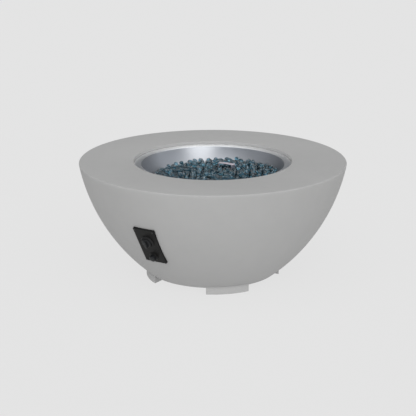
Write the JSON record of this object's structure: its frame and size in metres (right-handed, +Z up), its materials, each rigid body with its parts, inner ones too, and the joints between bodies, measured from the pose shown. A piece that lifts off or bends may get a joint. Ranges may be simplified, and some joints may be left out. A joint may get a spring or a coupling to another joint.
{
  "type": "gas fire bowl",
  "caption": "Round concrete gas fire bowl on cast feet, with a recessed steel burner pan, fire glass, and a side panel with a push-turn gas knob and a push-button igniter.",
  "frame": {"origin": "centre of the bowl on the floor it stands on", "axes": "+Z up, -Y out of the bowl at the control panel, +X to the right for someone facing the panel"},
  "size_m": [1.0648, 1.0644, 0.475],
  "materials": {
    "concrete": "smooth matte light grey cast concrete",
    "zinc_steel": "zinc plated",
    "stainless": "spun stainless steel",
    "spring_steel": "drawn spring wire",
    "brass": "turned brass",
    "cast_aluminium": "die cast",
    "fire_glass": "loose clear teal glass pebbles",
    "black_panel": "satin black",
    "black_trim": "moulded, fine texture",
    "black_knob": "moulded, satin",
    "black_screw": "black oxide",
    "white_ceramic": "glazed",
    "cell_jacket": "plain printed jacket with no lettering",
    "hose_rubber": "black gas hose",
    "lead_silicone": "silicone sleeve",
    "copper": "drawn copper tube"
  },
  "bodies": {
    "bowl": {"bowl_shell": "concrete", "foot_rear_right": "concrete", "foot_rear_left": "concrete", "foot_front_left": "concrete", "foot_front_right": "concrete", "foot_bolts": "zinc_steel", "foot_washers": "zinc_steel", "pan_locknut": "zinc_steel", "inlet_bracket": "zinc_steel", "bracket_screws": "zinc_steel", "gas_nipple": "zinc_steel", "burner_pan": "stainless", "ring_burner": "stainless", "pilot_bracket": "stainless", "flame_hood": "stainless", "pilot_screws": "stainless", "pilot_nuts": "stainless", "flame_probe": "stainless", "spark_rod": "stainless", "plunger_spring": "spring_steel", "button_spring": "spring_steel", "gas_orifice": "brass", "inlet_fitting": "brass", "inlet_locknut": "brass", "hose_nuts": "brass", "safety_magnet": "brass", "probe_nut": "brass", "gas_valve": "cast_aluminium", "air_mixer": "cast_aluminium", "fire_glass": "fire_glass", "control_panel": "black_panel", "knob_bezel": "black_trim", "igniter_barrel": "black_trim", "igniter_nut": "black_trim", "panel_screws": "black_screw", "valve_screws": "black_screw", "electrode_ceramic": "white_ceramic", "battery_cell": "cell_jacket", "burner_hose": "hose_rubber", "inlet_hose": "hose_rubber", "ignition_lead": "lead_silicone", "lead_boots": "lead_silicone", "thermocouple_lead": "copper"},
    "plunger": {"valve_plunger": "stainless"},
    "knob": {"valve_spindle": "stainless", "control_knob": "black_knob"},
    "button": {"igniter_button": "black_knob"}
  },
  "joints": [
    {"name": "knob_push", "type": "slide", "parent": "bowl", "child": "plunger", "axis": [0, 0.8646, 0.5024], "range_m": [0, 0.003], "stiffness_N_per_m": 600, "springref_m": -0.004, "deforming": ["plunger_spring"]},
    {"name": "knob_turn", "type": "hinge", "parent": "plunger", "child": "knob", "pos_m": [0, -0.45749, 0.25767], "axis": [0, -0.8646, -0.5024], "range_deg": [0, 180]},
    {"name": "igniter_push", "type": "slide", "parent": "bowl", "child": "button", "axis": [0, 0.8646, 0.5024], "range_m": [0, 0.003], "stiffness_N_per_m": 800, "springref_m": -0.004, "deforming": ["button_spring"]}
  ]
}
